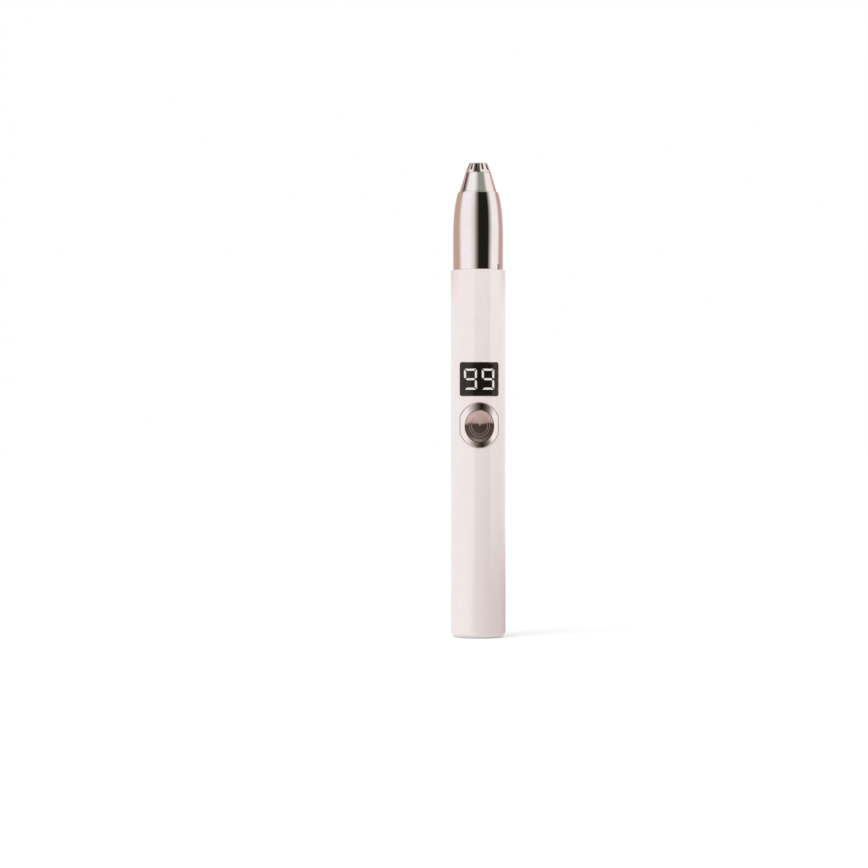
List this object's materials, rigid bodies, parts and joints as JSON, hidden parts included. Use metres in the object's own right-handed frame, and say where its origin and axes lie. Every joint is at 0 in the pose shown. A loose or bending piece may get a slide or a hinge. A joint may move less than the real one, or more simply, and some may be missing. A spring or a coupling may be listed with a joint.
{
  "type": "electric eyebrow trimmer",
  "caption": "Pen-shaped rotary eyebrow trimmer: white tube with a display window and a power button, pull-off chrome head with a slotted guard, charging inlet in the tail.",
  "frame": {"origin": "centre of the flat tail, on the plane that the trimmer stands on", "axes": "+Z along the body towards the cutter, -Y is the front with the display and the button, +X is right seen from the front"},
  "size_m": [0.0156, 0.016, 0.135],
  "materials": {
    "white_shell": "smooth warm white, satin gloss",
    "chrome": "bright polished plating",
    "button_metal": "turned metal with fine rings",
    "smoked_lens": "glossy smoked black",
    "digit_white": "milky light diffuser",
    "black_plastic": "moulded black",
    "grey_plastic": "moulded light grey",
    "steel": "plain bright steel",
    "brass": "turned",
    "copper": "enamelled copper",
    "magnet": "dark ferrite",
    "rubber": "matt black",
    "board": "green solder mask",
    "cell_sleeve": "shrink film",
    "wire_red": "wire insulation",
    "wire_black": "wire insulation"
  },
  "bodies": {
    "body": {"body_shell": "white_shell", "tail_cap": "white_shell", "usb_shell": "steel", "usb_tongue": "black_plastic", "usb_board": "board", "chassis": "grey_plastic", "battery_cell": "steel", "battery_sleeve": "cell_sleeve", "battery_tab_negative": "steel", "battery_tab_positive": "steel", "main_board": "board", "control_chip": "black_plastic", "charge_chip": "black_plastic", "switch_body": "black_plastic", "display_lens": "smoked_lens", "display_reflector": "black_plastic", "digit_tens": "digit_white", "digit_units": "digit_white", "button_bezel": "chrome", "neck_collar": "grey_plastic", "neck_o_ring": "rubber", "charge_wire_positive": "wire_red", "charge_wire_negative": "wire_black", "battery_wire_negative": "wire_black", "battery_wire_positive": "wire_red", "motor_wire_positive": "wire_red", "motor_wire_negative": "wire_black", "motor_can": "steel", "motor_damper": "rubber", "motor_end_cap": "black_plastic", "brush_positive": "copper", "brush_negative": "copper", "motor_rear_bearing": "brass", "motor_front_bearing": "brass", "magnet_right": "magnet", "magnet_left": "magnet"},
    "button": {"power_button": "button_metal", "switch_plunger": "black_plastic"},
    "motor_rotor": {"rotor_core": "steel", "rotor_winding_1": "copper", "rotor_winding_2": "copper", "rotor_winding_3": "copper", "commutator": "copper", "motor_shaft": "steel", "drive_dog": "brass"},
    "head": {"head_barrel": "chrome", "barrel_insert": "grey_plastic", "head_cone": "chrome", "guide_bush": "brass", "cutter_guard": "chrome"},
    "cutter": {"cutter_blade": "steel", "cutter_shaft": "steel", "cutter_spring": "steel", "retaining_clip": "steel", "drive_socket": "black_plastic"}
  },
  "joints": [
    {"name": "button_press", "type": "slide", "parent": "body", "child": "button", "axis": [0, 1, 0], "range_m": [0, 0.0004], "stiffness_N_per_m": 2000},
    {"name": "motor_spin", "type": "hinge", "parent": "body", "child": "motor_rotor", "pos_m": [0, 0, 0.09], "axis": [0, 0, 1], "continuous": true},
    {"name": "head_pull", "type": "slide", "parent": "body", "child": "head", "axis": [0, 0, 1], "range_m": [0, 0.02]},
    {"name": "cutter_spin", "type": "hinge", "parent": "head", "child": "cutter", "pos_m": [0, 0, 0.125], "axis": [0, 0, 1], "continuous": true}
  ],
  "couplings": [
    {"joint": "cutter_spin", "follows": "motor_spin", "ratio": 1}
  ]
}
